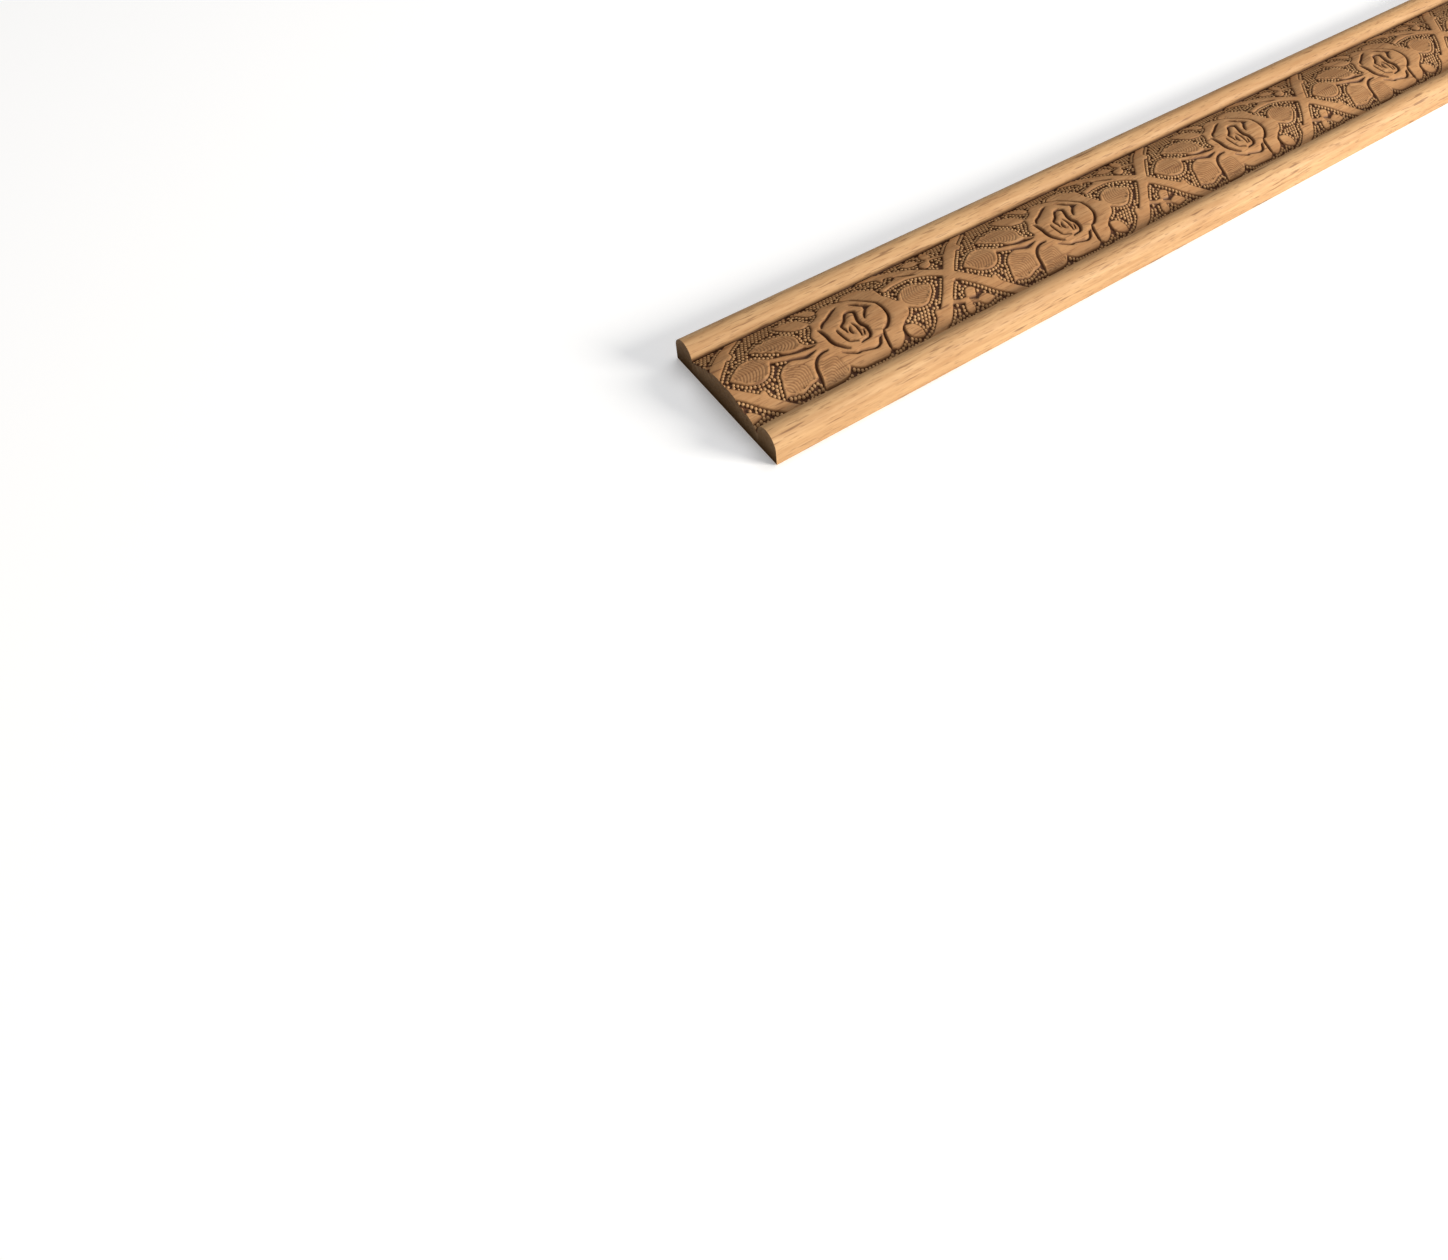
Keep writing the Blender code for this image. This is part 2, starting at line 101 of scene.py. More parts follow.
# The measuring grid, how far a simplified line may leave the true one, and the shortest closed line kept.
GRID_STEP = 0.15
OUTLINE_TOLERANCE = 0.03
SHORTEST_LOOP = 1.6
# Steps of a curve between two points of an outline, and the turn from which a corner stays sharp.
CURVE_STEPS = 4
CORNER_TURN = math.radians(50)
# The angle between two faces from which their edge is shaded sharp.
SHARP_ANGLE = math.radians(72)
# Spare points: spacing, reach from the middle, and distance from cuts, rims and seams.
FILL_STEP = 1.15
FILL_REACH = CARVED_HALF - 1.0
FILL_CLEARANCE = 0.5
FILL_RIM_GAP = RIM_RUN + 0.3
FILL_SEAM_GAP = 0.4
# Where in its step a row of points starts, by turns.
ROW_STARTS = (0.25, 0.75)
# Points across the band on the seam between two repeats.
SEAM_POINTS = 29
# How far from a line its distance is measured, and the distance that stands for further off.
FIELD_REACH = 2.6
FAR_AWAY = 50.0
# What stands for a field of exactly zero, and how near two points of the flat mesh are merged.
NEAR_ZERO = 1e-9
POINT_MERGE = 1e-5

# Leaf veins: pitch, depth and painted shade of the furrows, and how clear of the rims and cuts they stay.
VEIN_PITCH = 0.94
VEIN_DEPTH = 0.24
VEIN_PAINTED_SHADE = 0.5
VEIN_EDGE = 0.5
VEIN_FADE = 0.15
VEIN_CUT_GAP = 0.3
# How far a line of vein points runs to each side of the midrib, and the step of its points.
VEIN_HALF_WIDTH = 5.6
VEIN_POINT_STEP = 0.8

# The shallow bowl at the heart of the rose: centre, radius, depth and how sharply it ends.
HEART_CENTRE = (35.4, 3.4)
HEART_RADIUS = 3.2
HEART_DEPTH = 0.25
HEART_END = 4

# Outlines of the motifs within one repeat, x along the strip from a crossing, y across from the middle.
# The crossing of two ribbons with its four arms, the thorn and the knots on their edges.
RIBBONS = [
    (23, -17.2), (17.2, -17.2), (16, -16), (13, -13.6), (8, -10), (7, -9.1), (1.2, -3.2), (0.45, -2.6),
    (0.23, -2.6), (-2.27, -5.6), (-3.77, -7.6), (-3.97, -8.1), (-5.27, -9), (-5.67, -9.6),
    (-9.27, -13), (-12.27, -15.2), (-14.1, -17.2), (-18, -17.2), (-15.77, -14.8), (-11.87, -11.6),
    (-11.37, -10.8), (-11.37, -9.8), (-11.17, -8.9), (-10.07, -7.9), (-9.27, -8.1), (-8.57, -7.9),
    (-7.97, -7.1), (-5.27, -4.2), (-3.27, -1.8), (-1.97, -0.1), (-1.97, 0.3), (-4.77, 3.6),
    (-7.77, 6.7), (-9.27, 8), (-9.97, 7.5), (-10.57, 7.4), (-11.07, 7.9), (-11.17, 9.6),
    (-11.57, 10.4), (-14.47, 13.4), (-18.27, 16.3), (-19.3, 17.2), (-14.3, 17.2), (-13.27, 16),
    (-10.27, 13.8), (-7.27, 11), (-4.97, 8.2), (-0.27, 2.9), (0, 2.9), (1.2, 3.6), (4.2, 7), (5, 8),
    (5.5, 9.1), (6.4, 9.9), (8, 12), (10, 14), (11, 14.7), (12.5, 15.4), (14, 16.3), (15, 17.2),
    (21.5, 17.2), (20, 16), (17.2, 14.9), (16.2, 14.3), (14.4, 12.8), (13.6, 12), (13.1, 11),
    (12.9, 10.2), (12.5, 9.4), (11.9, 9), (11.3, 9.2), (10.7, 9.7), (9.9, 9), (7.1, 6), (4.6, 3),
    (3.9, 2), (3, 1), (2.5, 0.1), (2.4, -0.3), (5, -2.8), (6, -3.5), (9, -5.1), (11, -5.8), (12, -5.9),
    (16, -5.8), (17.5, -5.5), (19.2, -5), (19.9, -5.2), (20.2, -5.7), (20.1, -6.3), (19.8, -6.8),
    (18.4, -6.8), (17.8, -7.2), (16.2, -7.5), (15.7, -7.9), (14.3, -8), (13.8, -8.5), (12.4, -8.9),
    (14, -10.8), (15, -11.2), (15.8, -11), (16.2, -10.2), (16.8, -9.8), (17.2, -10.4), (17.1, -12),
    (17.6, -12.7), (19.3, -13.9), (21.3, -15.1), (22, -15.8),
]
# Leaves and rose from left to right.
BUD_LEAF = [
    (19.5, 4.4), (19.5, 1.2), (18.8, 0.8), (17.8, -0.8), (17, -1.5), (16, -2.2), (15, -2.6),
    (14, -2.8), (13, -2.8), (12, -2.5), (11, -2), (9, -0.4), (7.4, 0.6), (8.3, 2.5), (9, 3.4),
    (12, 5.9), (14, 6.2), (15, 6.1), (16, 5.7), (18, 4.4),
]
SHOULDER_LEAF = [
    (23.5, 11.3), (23.2, 9.2), (22.4, 9.2), (21.4, 9.4), (20.4, 9.8), (19.7, 10.6), (19.2, 11.6),
    (19, 12.6), (19.2, 14), (20, 14.2), (21, 14.1), (22, 13.6), (22.8, 13), (23.3, 12.2),
]
ROSE = [
    (47.2, 1.7), (46.7, 1.5), (46.7, 0.5), (46.9, -0.8), (46.5, -1.8), (45, -3.7), (44.2, -5.6),
    (44.3, -6.2), (43.4, -6.7), (42.4, -7), (41.2, -7.6), (40.2, -8.4), (39.7, -9.1), (39.6, -9.8),
    (38.2, -10.9), (37.2, -11.4), (36, -11.5), (33.6, -10.9), (32.5, -10.4), (31, -11.1),
    (30.2, -11.8), (29.2, -12.2), (27.5, -12.3), (26, -12.1), (24.9, -11.7), (24.1, -11.1),
    (23.2, -9.6), (22.2, -9), (21.4, -8.3), (21.2, -7), (21.3, -4.1), (20.9, -3), (20.3, -1.9),
    (19.7, -0.1), (19.3, 0.6), (18.9, 1), (18.3, 4.6), (19.4, 6.4), (20.2, 7), (22.2, 8.1),
    (24.1, 9.8), (24.3, 10.8), (24.9, 11.9), (25.7, 12.7), (26.8, 13.5), (28, 14.1), (29, 14.1),
    (29.6, 13.5), (30.3, 13.2), (31.7, 14.4), (33, 14.7), (39, 14.5), (40.4, 14.3), (41.4, 13.8),
    (42.3, 13.2), (42.8, 12.7), (43.2, 12.1), (45, 9), (46, 6), (46, 5.4), (46.5, 4.3),
]
NOTCHED_LEAF = [
    (52.9, 15), (52.7, 13.5), (51.4, 9), (50.6, 7.6), (49.5, 6.5), (48.2, 5.8), (46.3, 5.6),
    (44.5, 6.5), (42.6, 9.5), (43.2, 12.1), (44, 13.3), (44.8, 14.2), (45.8, 14.7), (48, 15),
]
LONG_LEAF = [
    (63.6, 12.3), (62.6, 9.2), (61.8, 7.6), (61.4, 6.1), (59.7, 4.3), (58.3, 3.6), (56.5, 3.1),
    (55.5, 3.3), (53, 4.4), (51.6, 4.7), (49, 3.9), (47, 2.8), (46.3, 4.8), (48.4, 5.35), (49.6, 6),
    (50.5, 6.8), (51.3, 7.9), (52.4, 10.6), (53.2, 11.4), (54.2, 11.8), (55.5, 12), (57.2, 12.7),
    (58.8, 13.2), (59.8, 13), (60.2, 12.6), (61, 12.7), (62.1, 12.1),
]
STEM = [
    (61.2, -0.4), (60, -0.7), (59, -0.1), (56, 0.7), (54.5, 1.3), (53, 1.7), (48.9, 2.3), (47, 1.9),
    (46.6, 3.6), (50, 3.3), (51.5, 3.4), (53, 3.1), (56, 2.1), (57.3, 1.9), (60.6, 0.6),
]
TIP_LEAF = [
    (73.2, 0.2), (71.6, -1.4), (70.7, -1.9), (70.1, -2.5), (69, -3.1), (68.2, -3.7), (67, -4),
    (65, -3.9), (64.2, -3.3), (63.2, -3.1), (62.6, -2.4), (61.8, -1.7), (61, -1.1), (59.5, -0.3),
    (61.2, 0.5), (62, 2.2), (63.3, 3.8), (64.3, 4.5), (65.3, 4.9), (66.5, 5), (67.5, 4.9), (70, 3.9),
    (72, 1.8),
]
TOOTHED_LEAF = [
    (63.2, -6.7), (62.6, -7.2), (60.7, -8), (60, -8.6), (59.5, -8.8), (58.5, -8.2), (57.9, -8.4),
    (57.2, -9), (56.3, -8.5), (55, -8.9), (53.6, -7.7), (52.5, -7.5), (50.6, -5.2), (50.3, -4.5),
    (50.1, -3.5), (50.2, -2.5), (50.5, -1.5), (50.3, -0.8), (49.9, 0), (49.2, 0.7), (48.4, 1.2),
    (47.6, 1.5), (46.6, 1.6), (46.6, 2.3), (49.8, 1.1), (50.6, 0.6), (53, 0.5), (54.6, 0.2),
    (55.6, -0.2), (56.3, -0.6), (56.8, -1.1), (57.2, -1.8), (57.8, -2.4), (58.6, -2.7), (59.8, -4),
    (60.6, -4.4), (61.3, -5), (61.8, -5.7), (62.5, -6.3),
]
DROP_LEAF = [
    (52.1, -11.8), (52.1, -12.7), (50, -12.9), (49, -12.8), (47, -12.1), (46.1, -11.5), (45.3, -10.7),
    (44.8, -9.8), (43.6, -6.6), (44.6, -6.3), (46, -6.2), (48, -6.7), (49, -7.2), (49.8, -7.9),
    (50.6, -8.8), (51.3, -9.8), (51.8, -10.8),
]
LOWER_LEAF = [
    (44.8, -15), (42.6, -14.7), (41.8, -14.3), (40.8, -14), (40.1, -13.3), (39.3, -11.6),
    (39.3, -10.8), (39.8, -9.9), (41, -10), (41.9, -10.4), (42.6, -11.1), (43, -12), (43.2, -12.9),
    (43.6, -13.7),
]
# The sprig below the crossing.
LOW_STALK = [
    (1.3, -10), (0.3, -10.6), (-0.9, -10.4), (-4.5, -9), (-5.6, -9), (-5, -8), (-4, -8.2), (-3, -8.7),
    (-0.3, -9.5), (1.2, -9.4),
]
LOW_ROUND = [
    (4.3, -7.7), (4.2, -8.6), (3.7, -9.3), (2.9, -9.7), (1.2, -9.6), (-0.1, -9.7), (0.1, -9.3),
    (0.6, -8.8), (0.9, -7.8), (1.2, -7.3), (2, -6.7), (3, -6.5), (3.9, -6.9),
]
LOW_SIDE = [
    (7.9, -12.9), (7.6, -11.8), (7, -11.2), (6.2, -10.7), (5.2, -10.3), (4.3, -10.4), (3.5, -10.7),
    (2.5, -10.4), (1.2, -9.8), (0.9, -10.1), (3, -11.2), (3.6, -12.8), (4.2, -13.5), (5, -13.8),
    (6, -13.6),
]
LOW_DROP = [
    (1, -11.7), (0.9, -11), (0.3, -10.3), (-0.6, -10.5), (-1.7, -11), (-2, -13), (-1.9, -14),
    (-1.3, -14.8), (-0.6, -15.2), (0, -14.6), (0.9, -12.7),
]
# The sprig above the crossing.
HIGH_STALK = [
    (6.2, 9.8), (5.6, 9), (4.2, 9.6), (3.2, 9.9), (1.8, 9.9), (0.9, 10.4), (1.2, 11.1), (2.9, 11.1),
    (4.2, 10.4),
]
HIGH_UP = [
    (4, 13.8), (3.8, 14.6), (3, 15), (2.2, 14.8), (1.4, 14.2), (1.1, 13.4), (1.2, 12.6), (0.9, 12),
    (1.1, 11), (2.9, 11.1), (3.5, 12), (3.9, 12.9),
]
HIGH_SIDE = [
    (1, 10.9), (-1.3, 11.9), (-2.5, 11.2), (-3.3, 11.1), (-4.2, 11.4), (-5, 11.9), (-5.6, 12.5),
    (-6.2, 13.3), (-6.3, 13.6), (-3.5, 14.3), (-2.6, 14.2), (-2, 13.8), (-1.5, 13.1), (-0.9, 12.6),
    (0.8, 11.9),
]
HIGH_ROUND = [
    (1.5, 10), (1, 8.4), (0.5, 7.8), (-0.2, 7.4), (-1, 7.3), (-1.8, 7.6), (-2.4, 8.1), (-2.6, 8.6),
    (-1.6, 10.3), (-0.8, 10.5),
]
SHAPES = [
    RIBBONS, BUD_LEAF, SHOULDER_LEAF, ROSE, NOTCHED_LEAF, LONG_LEAF, STEM, TIP_LEAF, TOOTHED_LEAF,
    DROP_LEAF, LOWER_LEAF, LOW_STALK, LOW_ROUND, LOW_SIDE, LOW_DROP, HIGH_STALK, HIGH_UP, HIGH_SIDE,
    HIGH_ROUND,
]
# Veined leaves: outline, base and tip of the midrib, how round the furrows turn over it, and the first
# and last rib from the base.
VEINED_LEAVES = [
    (BUD_LEAF, (19.0, 2.6), (7.4, 0.6), 1.6, 1, 12),
    (NOTCHED_LEAF, (44.2, 6.9), (51.5, 15.2), 0.4, 1, 11),
    (LONG_LEAF, (51.6, 5.2), (63.6, 12.3), 1.4, 2, 14),
    (TIP_LEAF, (60.4, 0.5), (73.2, 0.3), 2.6, 2, 13),
    (TOOTHED_LEAF, (50.0, -1.4), (63.2, -6.7), 2.0, 1, 13),
]

# Cut lines between petals and leaves: half the width, how far the side to the left and the side
# to the right of the cut sink towards it, and its course.
CUTS = [
    (0.42, 0, 0.13, [
        (8.2, -6.1), (12.8, -9.4),
    ]),
    (0.47, 0.07, 0.39, [
        (28.7, 7.3), (27.5, 6.9), (26.6, 6.3), (25.7, 5.5), (25, 4.6), (24.5, 3.7), (24.2, 2.5),
        (24, 1), (24, -0.5), (24.2, -2), (24.7, -3.2), (28.4, -8.2), (29.3, -9.1), (30.3, -9.8),
        (32.6, -10.9),
    ]),
    (0.37, 0.33, 0.07, [
        (30.3, 13.6), (30.2, 12.5), (29.6, 9.5), (29.2, 8.3), (28.7, 7.4),
    ]),
    (0.23, 0.08, 0, [
        (29.1, 6.9), (29.8, 6.5), (30.5, 6.3), (31.1, 5.9),
    ]),
    (0.44, 0.07, 0.39, [
        (30.3, 8.6), (30.9, 8.8), (31.8, 10.2), (32.4, 10.7), (33.2, 10.95), (34.2, 10.95),
        (37.2, 10.1), (38.2, 9.9), (39.4, 9.9), (42.8, 7.9),
    ]),
    (0.44, 0.39, 0.07, [
        (40.2, 7.7), (41, 7), (42.2, 5.5), (42.8, 4.6), (43.2, 3.5), (43.3, 2.2), (43.2, 1),
        (43.5, -1.5), (43.9, -2.5),
    ]),
    (0.44, 0.07, 0.39, [
        (42.5, -2.5), (42, -3.3), (41.2, -4.2), (40.3, -4.8), (39.2, -5.3), (36.2, -7.3), (35.2, -7.8),
        (34.3, -8.1),
    ]),
    (0.44, 0.39, 0.13, [
        (36.3, 7.8), (35.4, 7.5), (33.5, 7.3), (32.8, 6.8), (32.3, 6), (32, 4), (32.2, 3.1),
        (32.6, 2.3), (32.7, 1.3), (32.6, 0.2), (31.5, -2.7), (31.8, -3.5), (32.5, -4.1), (33.2, -4.2),
        (33.9, -3.9), (34.6, -3.2), (35.2, -2.3), (36, -1.4), (37.7, -0.1), (37.45, 1.9), (37.5, 2.7),
    ]),
    (0.37, 0.39, 0, [
        (30.6, 1.2), (29.9, -0.1), (28.2, -2), (27.2, -2.1),
    ]),
    (0.37, 0.39, 0.13, [
        (28, -3), (28.3, -4), (28.8, -5), (29.4, -5.8), (31, -7.3),
    ]),
    (0.4, 0.07, 0.33, [
        (36.9, 6.9), (37.7, 6.3), (38.9, 5.8), (39.4, 4.6), (39.8, 1.8), (39.7, 0.6),
    ]),
    (0.44, 0.13, 0.13, [
        (45.8, 5.2), (47.2, 5.1), (48.5, 5.4), (49.6, 6), (50.6, 6.9), (51.4, 8.1), (51.95, 9.6),
        (52.9, 13.8),
    ]),
    (0.37, 0.13, 0.13, [
        (49, 3.6), (51.5, 4.2), (52.8, 3.9), (56, 2.5), (57, 2.5),
    ]),
    (0.37, 0.13, 0.13, [
        (48.8, 2), (51, 1.4), (52.5, 1.4), (54, 1), (56, 0.1), (57, -0.2),
    ]),
    (0.42, 0.13, 0.13, [
        (24, 12.8), (23.8, 10.2), (23.2, 9.3),
    ]),
    (0.37, 0.13, 0.13, [
        (74.8, 10.8), (76.3, 11), (77.6, 10.95),
    ]),
    (0.34, 0.2, 0.07, [
        (34.75, 0.25), (34.4, 1.3), (34.25, 2.4), (34.5, 4.8), (34.85, 5.85),
    ]),
    (0.34, 0.07, 0.2, [
        (35.85, 1.25), (36.45, 2.35), (36.55, 3.25), (36.4, 3.95), (35.95, 4.3),
    ]),
    (0.32, 0.13, 0.13, [
        (33.05, 3.85), (33.35, 4.8), (33.95, 6),
    ]),
]
# A hollow between two petals, darkened with painted shade like the cuts.
POCKETS = [
    [(28.0, -4.9), (27.3, -3.6), (26.2, -2.3), (27.4, -1.9), (28.8, -1.3), (28.4, -3.0)],
]


def corner_at(before, here, after):
    """True where an outline turns sharply enough to keep its corner."""
    first = math.atan2(here[1] - before[1], here[0] - before[0])
    second = math.atan2(after[1] - here[1], after[0] - here[0])
    turn = abs((second - first + math.pi) % (2 * math.pi) - math.pi)
    return turn > CORNER_TURN


def curve_between(p0, p1, p2, p3):
    """Points of a smooth curve from p1 up to p2, which is left out."""
    points = []
    for step in range(CURVE_STEPS):
        t = step / CURVE_STEPS
        weights = (
            -0.5 * t + t * t - 0.5 * t ** 3,
            1 - 2.5 * t * t + 1.5 * t ** 3,
            0.5 * t + 2 * t * t - 1.5 * t ** 3,
            -0.5 * t * t + 0.5 * t ** 3,
        )
        x = sum(w * p[0] for w, p in zip(weights, (p0, p1, p2, p3)))
        y = sum(w * p[1] for w, p in zip(weights, (p0, p1, p2, p3)))
        points.append((x, y))
    return points


def rounded_shape(shape):
    """A closed outline with curves between its points and its corners kept."""
    count = len(shape)
    sharp = [corner_at(shape[k - 1], shape[k], shape[(k + 1) % count]) for k in range(count)]
    points = []
    for k in range(count):
        start = shape[k]
        end = shape[(k + 1) % count]
        before = start if sharp[k] else shape[k - 1]
        after = end if sharp[(k + 1) % count] else shape[(k + 2) % count]
        points += curve_between(before, start, end, after)
    return points


def rounded_line(line):
    """An open line with curves between its points."""
    padded = [line[0]] + line + [line[-1]]
    points = []
    for k in range(len(line) - 1):
        points += curve_between(*padded[k:k + 4])
    return points + [line[-1]]


def line_length(line):
    """Length of a line of points."""
    return sum(math.dist(a, b) for a, b in zip(line, line[1:]))


def near_line(px, py, line):
    """True for points that lie within the field's reach of a line's bounding box."""
    lows = np.min(line, axis=0) - FIELD_REACH
    highs = np.max(line, axis=0) + FIELD_REACH
    return (px > lows[0]) & (px < highs[0]) & (py > lows[1]) & (py < highs[1])


def nearest_on_line(px, py, line):
    """Distance of the points from an open line, the side (positive to its left), and the place along it."""
    best = np.full(px.shape, FAR_AWAY)
    side = np.zeros(px.shape)
    place = np.zeros(px.shape)
    passed = 0.0
    for (ax, ay), (bx, by) in zip(line, line[1:]):
        dx = bx - ax
        dy = by - ay
        share = ((px - ax) * dx + (py - ay) * dy) / (dx * dx + dy * dy)
        share = np.clip(share, 0.0, 1.0)
        gap = np.hypot(px - ax - share * dx, py - ay - share * dy)
        closer = gap < best
        side = np.where(closer, dx * (py - ay) - dy * (px - ax), side)
        place = np.where(closer, passed + share * math.hypot(dx, dy), place)
        best = np.where(closer, gap, best)
        passed += math.hypot(dx, dy)
    return best, side, place


def inside_shape(px, py, shape):
    """True for points inside a closed outline."""
    odd = np.zeros(px.shape, dtype=bool)
    for (ax, ay), (bx, by) in zip(shape, shape[1:] + shape[:1]):
        if ay == by:
            continue
        spans = (ay > py) != (by > py)
        crossing = ax + (py - ay) * (bx - ax) / (by - ay)
        odd ^= spans & (px < crossing)
    return odd


def depth_inside(px, py, shape):
    """Distance from an outline, positive inside and negative outside."""
    field = np.full(px.shape, -FAR_AWAY)
    near = near_line(px, py, shape)
    nx = px[near]
    ny = py[near]
    gap = nearest_on_line(nx, ny, shape + shape[:1])[0]
    field[near] = np.where(inside_shape(nx, ny, shape), gap, -gap)
    return field


def repeats_of(line):
    """The copies of a line that reach into one repeat."""
    copies = []
    for shift in (-REPEAT, 0.0, REPEAT):
        copy = [(x + shift, y) for x, y in line]
        if max(x for x, _ in copy) > -FIELD_REACH and min(x for x, _ in copy) < REPEAT + FIELD_REACH:
            copies.append(copy)
    return copies


def motif_field(px, py):
    """Distance from the edge of everything that stands up, positive inside."""
    field = np.full(px.shape, -FAR_AWAY)
    for shape in ROUNDED_SHAPES:
        for copy in repeats_of(shape):
            field = np.maximum(field, depth_inside(px, py, copy))
    return np.minimum(field, CARVED_HALF - np.abs(py))


def cut_fields(px, py):
    """Distance inside the cuts, narrower towards their ends, and how far the wood beside them sinks."""
    inside = np.full(px.shape, -FAR_AWAY)
    sink = np.zeros(px.shape)
    for half, left_sink, right_sink, line in ROUNDED_CUTS:
        for copy in repeats_of(line):
            near = near_line(px, py, copy)
            gap, side, place = nearest_on_line(px[near], py[near], copy)
            from_end = np.minimum(place, line_length(copy) - place)
            width = half * np.clip(TAPER_LEAST + from_end / TAPER_RUN, TAPER_LEAST, 1.0)
            inside[near] = np.maximum(inside[near], width - gap)
            fall = np.where(side > 0, left_sink, right_sink) * np.clip(from_end / SINK_FADE, 0.0, 1.0)
            sink[near] = np.maximum(sink[near], fall * np.exp(-np.maximum(gap - half, 0) / SINK_REACH))
    for pocket in POCKETS:
        inside = np.maximum(inside, depth_inside(px, py, rounded_shape(pocket)))
    return inside, sink


def crossing_point(xs, ys, field, edge):
    """Where the zero level crosses one edge of the grid."""
    way, i, j = edge
    di, dj = (1, 0) if way == "along" else (0, 1)
    here = field[i, j]
    share = here / (here - field[i + di, j + dj])
    x = xs[i] + share * (xs[i + di] - xs[i])
    y = ys[j] + share * (ys[j + dj] - ys[j])
    return (float(x), float(y))


def cell_links(field, i, j):
    """Pairs of crossed edges of one grid cell."""
    edges = [("along", i, j), ("across", i + 1, j), ("along", i, j + 1), ("across", i, j)]
    corners = [field[i, j], field[i + 1, j], field[i + 1, j + 1], field[i, j + 1]]
    signs = [value > 0 for value in corners]
    crossed = [edges[k] for k in range(4) if signs[k] != signs[(k + 1) % 4]]
    if len(crossed) == 2:
        return [(crossed[0], crossed[1])]
    centre_in = sum(corners) > 0
    if centre_in == signs[0]:
        return [(edges[0], edges[1]), (edges[2], edges[3])]
    return [(edges[0], edges[3]), (edges[1], edges[2])]


def walk(links, start):
    """Follow the links from one edge to the end of its line, or round to its start."""
    line = [start]
    before = None
    here = start
    while True:
        onward = [edge for edge in links[here] if edge != before]
        if not onward or onward[0] == start:
            if onward:
                line.append(start)
            break
        before = here
        here = onward[0]
        line.append(here)
    for edge in line:
        links.pop(edge, None)
    return line


def zero_lines(xs, ys, field):
    """The lines on which the field is zero, as lists of points."""
    field = np.where(field == 0.0, NEAR_ZERO, field)
    inside = field > 0
    corner_sum = inside[:-1, :-1].astype(int) + inside[1:, :-1] + inside[:-1, 1:] + inside[1:, 1:]
    links = {}
    for i, j in np.argwhere((corner_sum > 0) & (corner_sum < 4)):
        for first, second in cell_links(field, int(i), int(j)):
            links.setdefault(first, []).append(second)
            links.setdefault(second, []).append(first)
    ends = [edge for edge in links if len(links[edge]) == 1]
    lines = []
    for start in ends + list(links):
        if start in links:
            lines.append(walk(links, start))
    return [[crossing_point(xs, ys, field, edge) for edge in line] for line in lines]


def gaps_to_chord(line):
    """Distance of a line's inner points from its chord, or from its start if it is a loop."""
    px, py = np.array(line[1:-1]).T
    if line[0] == line[-1]:
        return np.hypot(px - line[0][0], py - line[0][1])
    return nearest_on_line(px, py, [line[0], line[-1]])[0]


def simplify(line, tolerance):
    """Drop the points that a straight line between the others replaces."""
    if len(line) < 3:
        return line
    gaps = gaps_to_chord(line)
    middle = int(np.argmax(gaps)) + 1
    if gaps[middle - 1] <= tolerance:
        return [line[0], line[-1]]
    return simplify(line[:middle + 1], tolerance)[:-1] + simplify(line[middle:], tolerance)


def level_lines(xs, ys, field):
    """Simplified zero lines, without the closed crumbs."""
    lines = [simplify(line, OUTLINE_TOLERANCE) for line in zero_lines(xs, ys, field)]
    return [line for line in lines if line[0] != line[-1] or line_length(line) > SHORTEST_LOOP]


def spaced_along(line, step):
    """Points at even steps along a line."""
    total = line_length(line)
    count = max(1, round(total / step))
    places = np.linspace(0.0, total, count + 1)[:-1] + total / count / 2
    lengths = np.cumsum([0.0] + [math.dist(a, b) for a, b in zip(line, line[1:])])
    xs, ys = np.array(line).T
    return list(zip(np.interp(places, lengths, xs), np.interp(places, lengths, ys)))


def lattice(step, row, reach):
    """Staggered points over one repeat, up to a distance from the middle."""
    rows = int(2 * reach / row)
    count = round(REPEAT / step)
    points = []
    for number in range(rows + 1):
        y = -reach + number * 2 * reach / rows
        start = ROW_STARTS[number % 2]
        points += [((start + k) * REPEAT / count, y) for k in range(count)]
    return points


class Spacing:
    """Keeps accepted points a least distance apart, round the ends of the repeat too."""

    def __init__(self, least):
        self.least = least
        self.cells = {}

    def cell(self, x, y):
        """The square of the search grid that holds a place."""
        return int(x // self.least), int(y // self.least)

    def free(self, x, y):
        """True if no accepted point is too near."""
        for shift in (-REPEAT, 0.0, REPEAT):
            cx, cy = self.cell(x + shift, y)
            for i in (cx - 1, cx, cx + 1):
                for j in (cy - 1, cy, cy + 1):
                    for ox, oy in self.cells.get((i, j), []):
                        if math.hypot(x + shift - ox, y - oy) < self.least:
                            return False
        return True

    def add(self, x, y):
        """Accept a point."""
        self.cells.setdefault(self.cell(x, y), []).append((x, y))


def dot_centres(xs, ys, motif):
    """Files of dots along the outlines, then staggered rows where the ground is wide: place and size."""
    candidates = []
    for line in zero_lines(xs, ys, -motif - DOT_EDGE_GAP):
        candidates += spaced_along(line, DOT_PITCH)
    candidates += lattice(DOT_PITCH, DOT_ROW, DOT_ROWS_REACH)
    candidates += lattice(DOT_SEARCH, DOT_SEARCH, DOT_ROWS_REACH)
    px, py = np.array(candidates).T
    sizes = np.clip((-motif_field(px, py) - SIDE_RUN) / DOT_FOOT_RADIUS, 0.0, 1.0)
    room = (sizes > DOT_LEAST_SIZE) & (cut_fields(px, py)[0] < -DOT_EDGE_GAP / 2)
    spacing = Spacing(DOT_NEAREST)
    centres = []
    for (x, y), fits, size in zip(candidates, room, sizes):
        x = x % REPEAT
        inside = DOT_FOOT_RADIUS < x < REPEAT - DOT_FOOT_RADIUS and abs(y) < DOT_REACH
        if fits and inside and spacing.free(x, y):
            spacing.add(x, y)
            centres.append((x, y, size))
    return centres


def ring(x, y, radius, count):
    """The corners of a regular shape round a point."""
    turns = [2 * math.pi * (k + 0.5) / count for k in range(count)]
    return [(x + radius * math.cos(t), y + radius * math.sin(t)) for t in turns]


